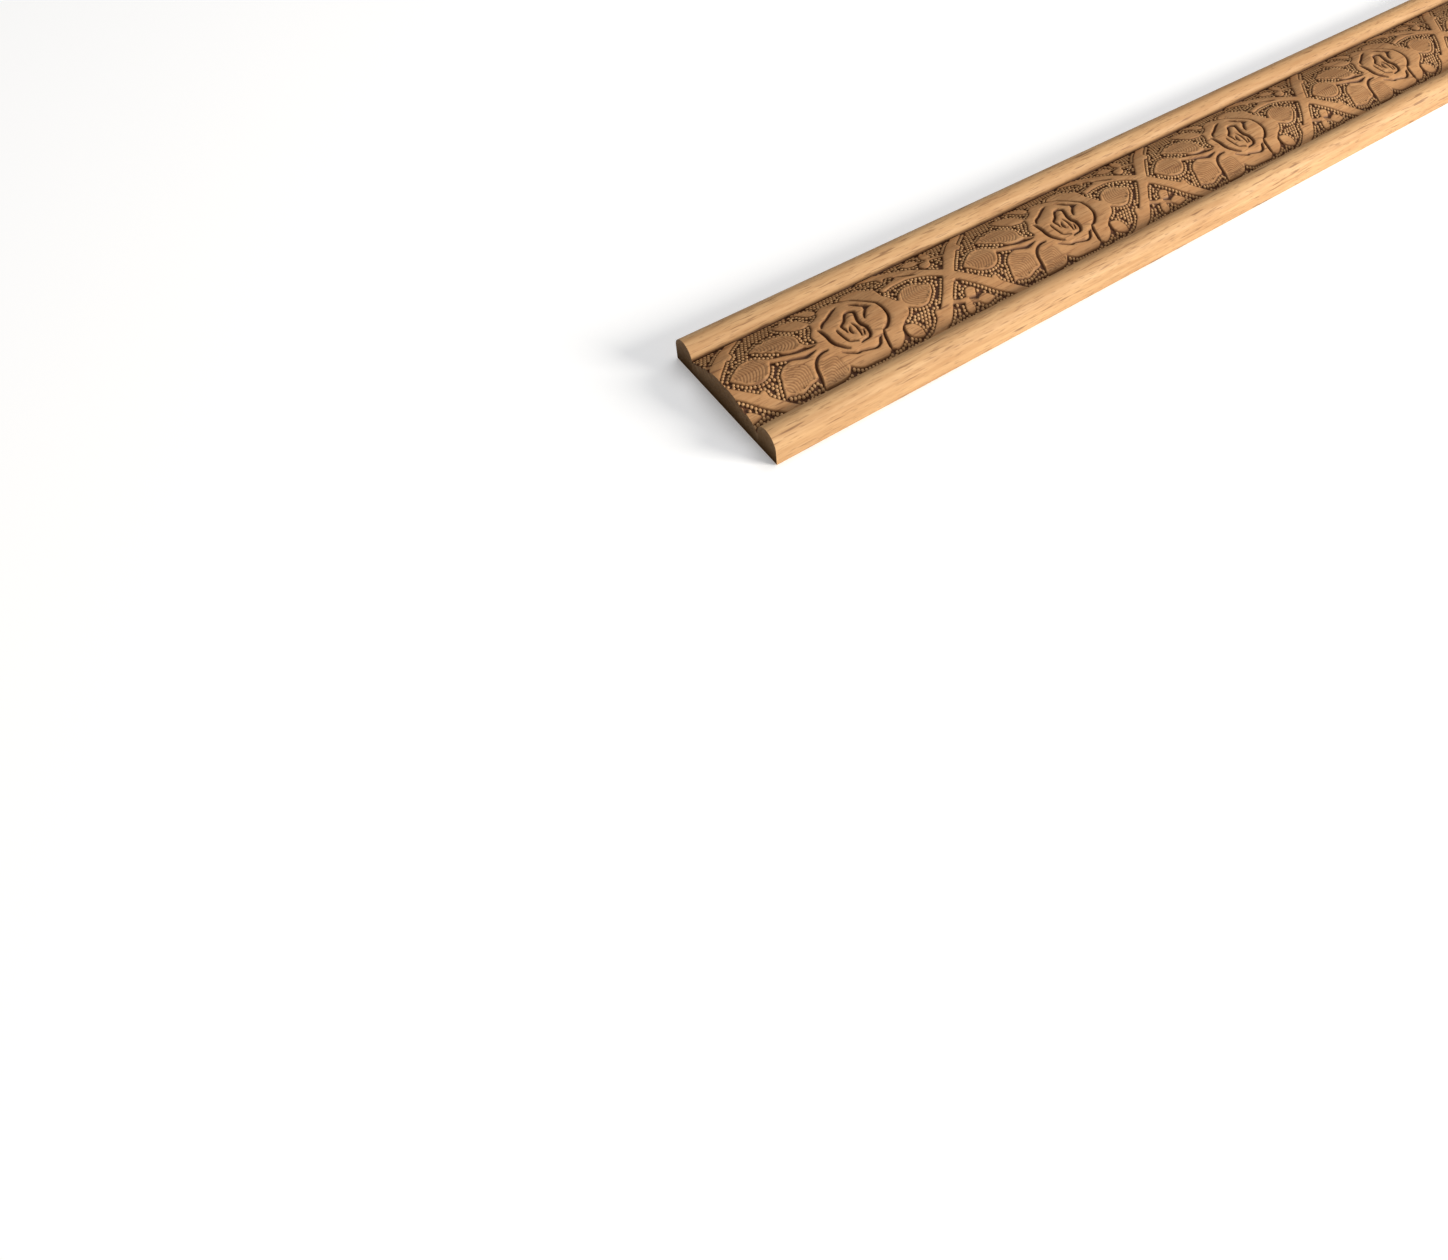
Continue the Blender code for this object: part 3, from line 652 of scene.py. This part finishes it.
def dot_points(centres):
    """The top, the shoulder and the foot of every dot."""
    points = []
    for x, y, size in centres:
        points.append((x, y))
        points += ring(x, y, size * DOT_TOP_RADIUS, DOT_SIDES)
        points += ring(x, y, size * DOT_FOOT_RADIUS, DOT_SIDES)
    return points


def along_and_across(px, py, base, tip):
    """Distances along a midrib from its base, and to its side."""
    length = math.dist(base, tip)
    ux = (tip[0] - base[0]) / length
    uy = (tip[1] - base[1]) / length
    along = (px - base[0]) * ux + (py - base[1]) * uy
    across = (py - base[1]) * ux - (px - base[0]) * uy
    return along, across


def vein_rise(across, roundness):
    """How far a furrow has swept towards the leaf's tip at a distance from the midrib."""
    return np.hypot(across, roundness) - roundness


def vein_furrows(px, py):
    """1 at the bottom of a furrow, 0 on the ribs, and the leaves' veined parts."""
    furrows = np.zeros(px.shape)
    veined = np.zeros(px.shape, dtype=bool)
    for leaf, base, tip, roundness, first, last in VEINED_LEAVES:
        along, across = along_and_across(px, py, base, tip)
        number = (along - vein_rise(across, roundness)) / VEIN_PITCH
        on_leaf = (number > first) & (number < last) & inside_shape(px, py, leaf)
        furrows = np.where(on_leaf, 0.5 - 0.5 * np.cos(2 * math.pi * number), furrows)
        veined |= on_leaf
    return furrows, veined


def vein_lines():
    """A line of points on every rib and in every furrow, with the outline of its leaf."""
    lines = []
    for leaf, base, tip, roundness, first, last in VEINED_LEAVES:
        length = math.dist(base, tip)
        ux = (tip[0] - base[0]) / length
        uy = (tip[1] - base[1]) / length
        steps = int(2 * VEIN_HALF_WIDTH / VEIN_POINT_STEP)
        across = np.linspace(-VEIN_HALF_WIDTH, VEIN_HALF_WIDTH, steps + 1)
        for number in range(2 * first, 2 * last + 1):
            along = number * VEIN_PITCH / 2 + vein_rise(across, roundness)
            xs = base[0] + along * ux - across * uy
            ys = base[1] + along * uy + across * ux
            lines.append((leaf, [(float(x), float(y)) for x, y in zip(xs, ys)]))
    return lines


def add_line(points, edges, line):
    """Append a line's points and the edges between them."""
    start = len(points)
    points.extend(line)
    edges.extend((k, k + 1) for k in range(start, start + len(line) - 1))


def add_veins(points, edges):
    """Append the ribs and furrows where they lie on their leaf, clear of its rim and of the cuts."""
    for leaf, line in vein_lines():
        px, py = np.array(line).T
        clear = (motif_field(px, py) > VEIN_EDGE) & (cut_fields(px, py)[0] < -VEIN_CUT_GAP)
        clear &= inside_shape(px, py, leaf)
        run = []
        for point, fine in zip(line, clear):
            if fine:
                run.append(point)
                continue
            add_line(points, edges, run)
            run = []
        add_line(points, edges, run)


def fill_points():
    """Spare points on the motifs, away from outlines, cuts and veins."""
    points = np.array(lattice(FILL_STEP, FILL_STEP, FILL_REACH))
    px, py = points.T
    clear = (motif_field(px, py) > FILL_RIM_GAP) & (cut_fields(px, py)[0] < -FILL_CLEARANCE)
    clear &= ~vein_furrows(px, py)[1] & (px > FILL_SEAM_GAP) & (px < REPEAT - FILL_SEAM_GAP)
    return [tuple(point) for point in points[clear]]


def add_frame(points, edges):
    """The straight lines of the rails, the two seams and the cross lines of the rails."""
    for distance, _ in RAIL_PROFILE:
        for y in (-distance, distance):
            line = [(REPEAT * k / RAIL_STEPS, y) for k in range(RAIL_STEPS + 1)]
            add_line(points, edges, line)
    seam = [float(y) for y in np.linspace(-CARVED_HALF, CARVED_HALF, SEAM_POINTS)]
    for x in (0.0, REPEAT):
        add_line(points, edges, [(x, y) for y in [-HALF_WIDTH] + seam + [HALF_WIDTH]])


def fields_on_grid():
    """The motif and cut fields on a regular grid over one repeat."""
    xs = np.linspace(0.0, REPEAT, round(REPEAT / GRID_STEP) + 1)
    ys = np.linspace(-BAND_HALF, BAND_HALF, round(2 * BAND_HALF / GRID_STEP) + 1)
    px, py = np.meshgrid(xs, ys, indexing="ij")
    motif = motif_field(px, py)
    cuts = cut_fields(px, py)[0]
    motif[-1] = motif[0]
    cuts[-1] = cuts[0]
    return xs, ys, motif, cuts


def repeat_mesh():
    """Points, triangles and dot centres of one repeat, flat, from rail edge to rail edge."""
    xs, ys, motif, cuts = fields_on_grid()
    centres = dot_centres(xs, ys, motif)
    points = []
    edges = []
    tops = np.minimum(motif, -cuts)
    fields = [tops - level for level in RIM_LEVELS] + [motif + SIDE_RUN, cuts - CUT_SIDE]
    for field in fields:
        for line in level_lines(xs, ys, field):
            add_line(points, edges, line)
    add_frame(points, edges)
    add_veins(points, edges)
    points += dot_points(centres) + fill_points()
    result = delaunay_2d_cdt([Vector(point) for point in points], edges, [], 0, POINT_MERGE)
    flat = np.array([(point.x, point.y) for point in result[0]])
    return flat, result[2], centres


def dot_share(px, py, centres):
    """1 on the top of a dot, 0 beside it."""
    share = np.zeros(px.shape)
    radii = [0.0, DOT_TOP_RADIUS, DOT_FOOT_RADIUS]
    for x, y, size in centres:
        near = (np.abs(px - x) < DOT_FOOT_RADIUS) & (np.abs(py - y) < DOT_FOOT_RADIUS)
        gap = np.hypot(px[near] - x, py[near] - y) / size
        share[near] = np.maximum(share[near], np.interp(gap, radii, [1.0, DOT_SHOULDER, 0.0]))
    return share


def heart_bowl(px, py):
    """The shallow bowl at the heart of the rose, 1 at its middle."""
    away = np.hypot(px - HEART_CENTRE[0], py - HEART_CENTRE[1]) / HEART_RADIUS
    return np.exp(-away ** HEART_END)


def smooth_share(share):
    """A share from 0 to 1 that starts and ends gently."""
    share = np.clip(share, 0.0, 1.0)
    return share * share * (3.0 - 2.0 * share)


def rail_height(py):
    """Height of the rails over the back."""
    distances = [distance for distance, _ in RAIL_PROFILE]
    heights = [height for _, height in RAIL_PROFILE]
    return np.interp(np.abs(py), distances, heights)


def surface(px, py, centres):
    """Height of the face over the back, how much painted shade it gets there, and how much it is browned."""
    motif = motif_field(px, py)
    cut_inside, sink = cut_fields(px, py)
    cut = np.clip(cut_inside / CUT_SIDE, 0.0, 1.0)
    tops = np.minimum(motif, -cut_inside)
    rim = 1.0 - np.clip(np.abs(tops) / RIM_RUN, 0.0, 1.0)
    rim_fall = RIM_FALL * np.where(tops > 0, rim, 1.0) ** 2
    furrows = vein_furrows(px, py)[0] * np.clip((tops - RIM_RUN) / VEIN_FADE, 0.0, 1.0)
    on_motif = rim_fall + CUT_DEPTH * cut + sink + HEART_DEPTH * heart_bowl(px, py) + VEIN_DEPTH * furrows
    ground = smooth_share(-motif / SIDE_RUN)
    dots = dot_share(px, py, centres) * (motif < -SIDE_RUN)
    depth = np.maximum(ground * GROUND_DEPTH - dots * DOT_HEIGHT, 0.0)
    depth = np.where(motif > 0, on_motif, np.maximum(depth, (1 - ground) * on_motif))
    band = np.minimum(CROWN_HEIGHT - CROWN_FALL * (py / CROWN_FALL_AT) ** 2 - depth, CROWN_HEIGHT)
    dot_tops = np.clip(dots / DOT_SHOULDER, 0.0, 1.0)
    # Painted shade: the ground between the dots, the cuts, the vein furrows and the rims of the motifs are
    # darkened as if in shade.
    dark = np.maximum.reduce([ground * (1.0 - dot_tops), cut, VEIN_PAINTED_SHADE * furrows, EDGE_PAINTED_SHADE * rim])
    # Painted shade in the narrow groove at the foot of each rail.
    rail_foot_shade = np.clip(1.0 - (np.abs(py) - BAND_HALF) / RAIL_SHADE_RUN, 0.0, 1.0)
    on_rail = np.abs(py) > BAND_HALF - RAIL_SLACK
    height = np.where(on_rail, rail_height(py), band)
    return height, np.where(on_rail, rail_foot_shade, dark), np.where(on_rail, 0.0, 1.0 - DOT_PALENESS * dot_tops)


def strip_place(x, shift):
    """Place along the finished strip of a point of the pattern."""
    return -LENGTH / 2 + CUT_PLACE - x + shift


def lay_repeats(body, layers):
    """Lay the repeats side by side, longer than the strip."""
    flat, faces, centres = repeat_mesh()
    height, dark, band = surface(flat[:, 0], flat[:, 1], centres)
    for number in range(REPEAT_COUNT):
        corners = []
        for (x, y), z, painted_shade, browned in zip(flat, height, dark, band):
            vert = body.verts.new(Vector((strip_place(x, number * REPEAT), -y, z)) * MM)
            # The dark layer holds the painted shade of the hollows and of the rail feet.
            vert[layers["dark"]] = painted_shade
            vert[layers["band"]] = browned
            corners.append(vert)
        for face in faces:
            body.faces.new([corners[k] for k in face])
    bmesh.ops.remove_doubles(body, verts=body.verts[:], dist=SEAM_MERGE)


def cut_ends(body):
    """Cut the strip square at both ends."""
    for side in (-1, 1):
        geometry = body.verts[:] + body.edges[:] + body.faces[:]
        plane = Vector((side * LENGTH / 2 * MM, 0, 0))
        bmesh.ops.bisect_plane(
            body, geom=geometry, dist=EDGE_REACH, plane_co=plane, plane_no=(side, 0, 0), clear_outer=True,
        )


def cap(body, profile, layers):
    """A cut end from the profile down to the back, on vertices of its own, darkest at the back."""
    tops = []
    feet = []
    for vert in profile:
        tops.append(body.verts.new(vert.co))
        feet.append(body.verts.new((vert.co.x, vert.co.y, 0.0)))
    for top, foot in zip(tops, feet):
        # The dark brown of a cut end, partly end grain and partly painted shade, is darker towards the back.
        top[layers["end"]] = END_TOP_SHARE
        foot[layers["end"]] = 1.0
    for k in range(len(tops) - 1):
        body.faces.new([tops[k], tops[k + 1], feet[k + 1], feet[k]])


def close_body(body, layers):
    """Add the two ends, the two long sides and the flat back."""
    half_length = LENGTH / 2 * MM
    half_width = HALF_WIDTH * MM
    rim = {vert for edge in body.edges if edge.is_boundary for vert in edge.verts}
    feet = {}
    for sx in (-1, 1):
        for sy in (-1, 1):
            feet[sx, sy] = body.verts.new((sx * half_length, sy * half_width, 0.0))
    for side in (-1, 1):
        end = [vert for vert in rim if abs(vert.co.x - side * half_length) < EDGE_REACH]
        end.sort(key=lambda vert: vert.co.y)
        for vert in end:
            vert.co.x = side * half_length
        cap(body, end if side > 0 else end[::-1], layers)
        edge = [vert for vert in rim if abs(vert.co.y - side * half_width) < EDGE_REACH]
        edge.sort(key=lambda vert: vert.co.x)
        loop = edge + [feet[1, side], feet[-1, side]]
        body.faces.new(loop if side > 0 else loop[::-1])
    body.faces.new([feet[-1, -1], feet[-1, 1], feet[1, 1], feet[1, -1]])


def build_strip():
    """The whole strip as one closed mesh, with what its colours depend on at its vertices."""
    body = bmesh.new()
    layers = {name: body.verts.layers.float.new(name) for name in ("dark", "band", "end")}
    lay_repeats(body, layers)
    cut_ends(body)
    close_body(body, layers)
    bmesh.ops.triangulate(body, faces=[face for face in body.faces if len(face.verts) > 3])
    mesh = bpy.data.meshes.new("carved_strip")
    body.to_mesh(mesh)
    body.free()
    strip = bpy.data.objects.new("carved_strip", mesh)
    bpy.context.collection.objects.link(strip)
    mesh.shade_smooth()
    mesh.set_sharp_from_angle(angle=SHARP_ANGLE)
    return strip


# The colour inputs of a mix node, and its colour output.
MIX_COLOURS = (6, 7)
MIX_RESULT = 2


class Tree:
    """Short calls for the nodes of one material."""

    def __init__(self, name):
        self.material = bpy.data.materials.new(name)
        self.material.use_nodes = True
        self.nodes = self.material.node_tree.nodes
        self.links = self.material.node_tree.links
        self.shader = self.nodes["Principled BSDF"]

    def node(self, kind, **settings):
        """A new node with its settings."""
        made = self.nodes.new(kind)
        for name, value in settings.items():
            setattr(made, name, value)
        return made

    def join(self, source, target):
        """Link an output to an input."""
        self.links.new(source, target)

    def noise(self, place, stretch, detail, roughness):
        """Noise stretched by different amounts along, across and up."""
        mapping = self.node("ShaderNodeMapping")
        mapping.inputs["Scale"].default_value = stretch
        self.join(place, mapping.inputs["Vector"])
        noise = self.node("ShaderNodeTexNoise")
        noise.inputs["Scale"].default_value = 1.0
        noise.inputs["Detail"].default_value = detail
        noise.inputs["Roughness"].default_value = roughness
        self.join(mapping.outputs["Vector"], noise.inputs["Vector"])
        return noise.outputs["Fac"]

    def spread(self, value, limits):
        """Spread one range of values over another, clamped at its ends."""
        ranged = self.node("ShaderNodeMapRange")
        for name, limit in zip(("From Min", "From Max", "To Min", "To Max"), limits):
            ranged.inputs[name].default_value = limit
        self.join(value, ranged.inputs["Value"])
        return ranged.outputs["Result"]

    def mix(self, share, first, second, blend="MIX"):
        """A mix of two colours, each a plain colour or an output."""
        mixed = self.node("ShaderNodeMix", data_type="RGBA", blend_type=blend)
        self.join(share, mixed.inputs["Factor"])
        for side, socket in zip((first, second), MIX_COLOURS):
            if isinstance(side, tuple):
                mixed.inputs[socket].default_value = side
            else:
                self.join(side, mixed.inputs[socket])
        return mixed.outputs[MIX_RESULT]

    def attribute(self, name):
        """A value kept at the vertices."""
        return self.node("ShaderNodeAttribute", attribute_name=name).outputs["Fac"]

    def maths(self, operation, first, second):
        """A sum on two values, each a plain number or an output."""
        worked = self.node("ShaderNodeMath", operation=operation)
        for side, socket in ((first, 0), (second, 1)):
            if isinstance(side, float):
                worked.inputs[socket].default_value = side
            else:
                self.join(side, worked.inputs[socket])
        return worked.outputs[0]


# Colours of the bare wood, of what browns the band, of the painted shade in the cuts and hollows, of the cut
# ends (partly end grain, partly painted shade) and of pores.
PALE_WOOD = (0.53, 0.325, 0.155, 1.0)
WARM_WOOD = (0.37, 0.195, 0.082, 1.0)
BAND_TINT = (0.91, 0.79, 0.7, 1.0)
BAND_SHARE = 0.9
PAINTED_GROOVE_SHADE = (0.095, 0.035, 0.012, 1.0)
END_GRAIN_AND_SHADE = (0.052, 0.024, 0.006, 1.0)
PORE_BROWN = (0.17, 0.08, 0.035, 1.0)
# Each noise of the grain: how fine it is along, across and up, then its detail and roughness.
STREAKS = ((55.0, 700.0, 700.0), 4.0, 0.62)
BROAD_BANDS = ((10.0, 90.0, 90.0), 2.0, 0.5)
PORES = ((260.0, 2600.0, 2600.0), 1.0, 0.4)
FLECKS = ((90.0, 1300.0, 1300.0), 2.0, 0.5)
# Ranges that are spread over other ranges: from low, from high, to low, to high.
STREAK_SPREAD = (0.36, 0.68, 0.0, 0.75)
BROAD_SPREAD = (0.38, 0.68, 0.0, 0.45)
PORE_SPREAD = (0.60, 0.70, 0.0, 0.45)
FLECK_SPREAD = (0.63, 0.70, 0.0, 0.7)
PAINTED_SHADE_SPREAD = (0.05, 0.85, 0.0, 1.0)
ROUGHNESS_SPREAD = (0.3, 0.7, 0.56, 0.7)
GLOSS_SPREAD = (0.0, 1.0, 0.22, 0.0)
# The fine relief of the grain.
GRAIN_STRENGTH = 0.25
GRAIN_DEPTH = 0.0002


def wood_colour(tree, place, streaks, pore_share, end):
    """Streaked and flecked wood, browned on the band, with painted shade in the cuts and hollows, and a dark
    brown on the cut ends that is partly end grain and partly painted shade.
    """
    colour = tree.mix(tree.spread(streaks, STREAK_SPREAD), PALE_WOOD, WARM_WOOD)
    colour = tree.mix(tree.spread(tree.noise(place, *BROAD_BANDS), BROAD_SPREAD), colour, WARM_WOOD)
    colour = tree.mix(pore_share, colour, PORE_BROWN)
    colour = tree.mix(tree.spread(tree.noise(place, *FLECKS), FLECK_SPREAD), colour, PORE_BROWN)
    browned = tree.maths("MULTIPLY", tree.attribute("band"), BAND_SHARE)
    colour = tree.mix(browned, colour, BAND_TINT, "MULTIPLY")
    # Painted shade in the cuts, the ground between the dots, the vein furrows, the rims and the rail feet.
    colour = tree.mix(tree.spread(tree.attribute("dark"), PAINTED_SHADE_SPREAD), colour, PAINTED_GROOVE_SHADE)
    # The cut ends: end grain and painted shade together.
    return tree.mix(end, colour, END_GRAIN_AND_SHADE)


def wood_material():
    """The bare wood of the whole strip."""
    tree = Tree("carved_wood")
    place = tree.node("ShaderNodeTexCoord").outputs["Object"]
    streaks = tree.noise(place, *STREAKS)
    pore_share = tree.spread(tree.noise(place, *PORES), PORE_SPREAD)
    end = tree.attribute("end")
    tree.join(wood_colour(tree, place, streaks, pore_share, end), tree.shader.inputs["Base Color"])
    tree.join(tree.spread(streaks, ROUGHNESS_SPREAD), tree.shader.inputs["Roughness"])
    tree.join(tree.spread(end, GLOSS_SPREAD), tree.shader.inputs["Specular IOR Level"])
    tree.shader.inputs["Metallic"].default_value = 0.0
    bump = tree.node("ShaderNodeBump")
    bump.inputs["Strength"].default_value = GRAIN_STRENGTH
    bump.inputs["Distance"].default_value = GRAIN_DEPTH
    tree.join(tree.maths("SUBTRACT", streaks, pore_share), bump.inputs["Height"])
    tree.join(bump.outputs["Normal"], tree.shader.inputs["Normal"])
    return tree.material


# The floor lies just under the back, and glows a little so that it looks evenly pale.
FLOOR_SIZE = 6.0
FLOOR_HEIGHT = -0.0002
FLOOR_COLOUR = (0.9, 0.9, 0.9, 1.0)
FLOOR_ROUGHNESS = 0.9
FLOOR_GLOW = 0.25


def build_floor():
    """A wide pale floor."""
    body = bmesh.new()
    half = FLOOR_SIZE / 2
    places = ((-half, -half), (half, -half), (half, half), (-half, half))
    body.faces.new([body.verts.new((x, y, FLOOR_HEIGHT)) for x, y in places])
    mesh = bpy.data.meshes.new("floor")
    body.to_mesh(mesh)
    body.free()
    floor = bpy.data.objects.new("floor", mesh)
    bpy.context.collection.objects.link(floor)
    tree = Tree("floor_white")
    tree.shader.inputs["Base Color"].default_value = FLOOR_COLOUR
    tree.shader.inputs["Roughness"].default_value = FLOOR_ROUGHNESS
    tree.shader.inputs["Emission Color"].default_value = FLOOR_COLOUR
    tree.shader.inputs["Emission Strength"].default_value = FLOOR_GLOW
    mesh.materials.append(tree.material)
    return floor


# Low soft light from the camera's right, a broad one from overhead and a weak even surround.
# Each light: place, width, power and colour. Both are aimed at the near half of the strip.
KEY_LIGHT = ((0.8, -1.25, 0.5), 0.7, 45.5, (1.0, 0.96, 0.9))
FILL_LIGHT = ((0.25, 0.2, 1.4), 1.4, 9.8, (0.97, 0.98, 1.0))
LIGHT_TARGET = (-0.12, 0.0, 0.005)
SURROUND = (1.0, 1.0, 1.0, 1.0)
SURROUND_STRENGTH = 0.22


def add_light(name, place, width, power, colour):
    """A round lamp aimed at the strip."""
    light = bpy.data.lights.new(name, "AREA")
    light.shape = "DISK"
    light.size = width
    light.energy = power
    light.color = colour
    item = bpy.data.objects.new(name, light)
    bpy.context.collection.objects.link(item)
    item.location = place
    way = Vector(LIGHT_TARGET) - Vector(place)
    item.rotation_euler = way.to_track_quat("-Z", "Y").to_euler()


def light_scene():
    """The two lamps and the surround."""
    add_light("key", *KEY_LIGHT)
    add_light("fill", *FILL_LIGHT)
    world = bpy.data.worlds.new("surround")
    world.use_nodes = True
    back = world.node_tree.nodes["Background"]
    back.inputs["Color"].default_value = SURROUND
    back.inputs["Strength"].default_value = SURROUND_STRENGTH
    bpy.context.scene.world = world
    bpy.context.scene.view_settings.view_transform = "Standard"


# The camera looks over the near end, with the strip running off the frame at the upper right.
CAMERA_PLACE = (-0.38453, -0.24494, 0.27055)
CAMERA_TURN = (53.354, -2.242, -39.929)
CAMERA_LENS = 35.215
CAMERA_SENSOR = 36.0
CAMERA_SHIFT = (-0.1906, -0.2970)
CAMERA_NEAR = 0.01


def add_camera():
    """The camera, at the photograph's angle."""
    camera = bpy.data.cameras.new("camera")
    camera.sensor_width = CAMERA_SENSOR
    camera.lens = CAMERA_LENS
    camera.shift_x, camera.shift_y = CAMERA_SHIFT
    camera.clip_start = CAMERA_NEAR
    item = bpy.data.objects.new("camera", camera)
    item.location = CAMERA_PLACE
    item.rotation_euler = [math.radians(turn) for turn in CAMERA_TURN]
    bpy.context.collection.objects.link(item)
    bpy.context.scene.camera = item


ROUNDED_SHAPES = [rounded_shape(shape) for shape in SHAPES]
ROUNDED_CUTS = [(half, left, right, rounded_line(line)) for half, left, right, line in CUTS]

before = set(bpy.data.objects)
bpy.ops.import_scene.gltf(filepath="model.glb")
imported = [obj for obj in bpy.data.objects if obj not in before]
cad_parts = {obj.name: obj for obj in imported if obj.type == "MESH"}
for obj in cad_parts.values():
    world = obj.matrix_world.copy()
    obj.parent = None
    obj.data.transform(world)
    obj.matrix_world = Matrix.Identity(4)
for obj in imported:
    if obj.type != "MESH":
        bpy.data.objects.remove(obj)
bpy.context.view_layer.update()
strip = build_strip()
strip.data.materials.append(wood_material())
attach(strip, "root")
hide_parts("moulding")
build_floor()
light_scene()
add_camera()
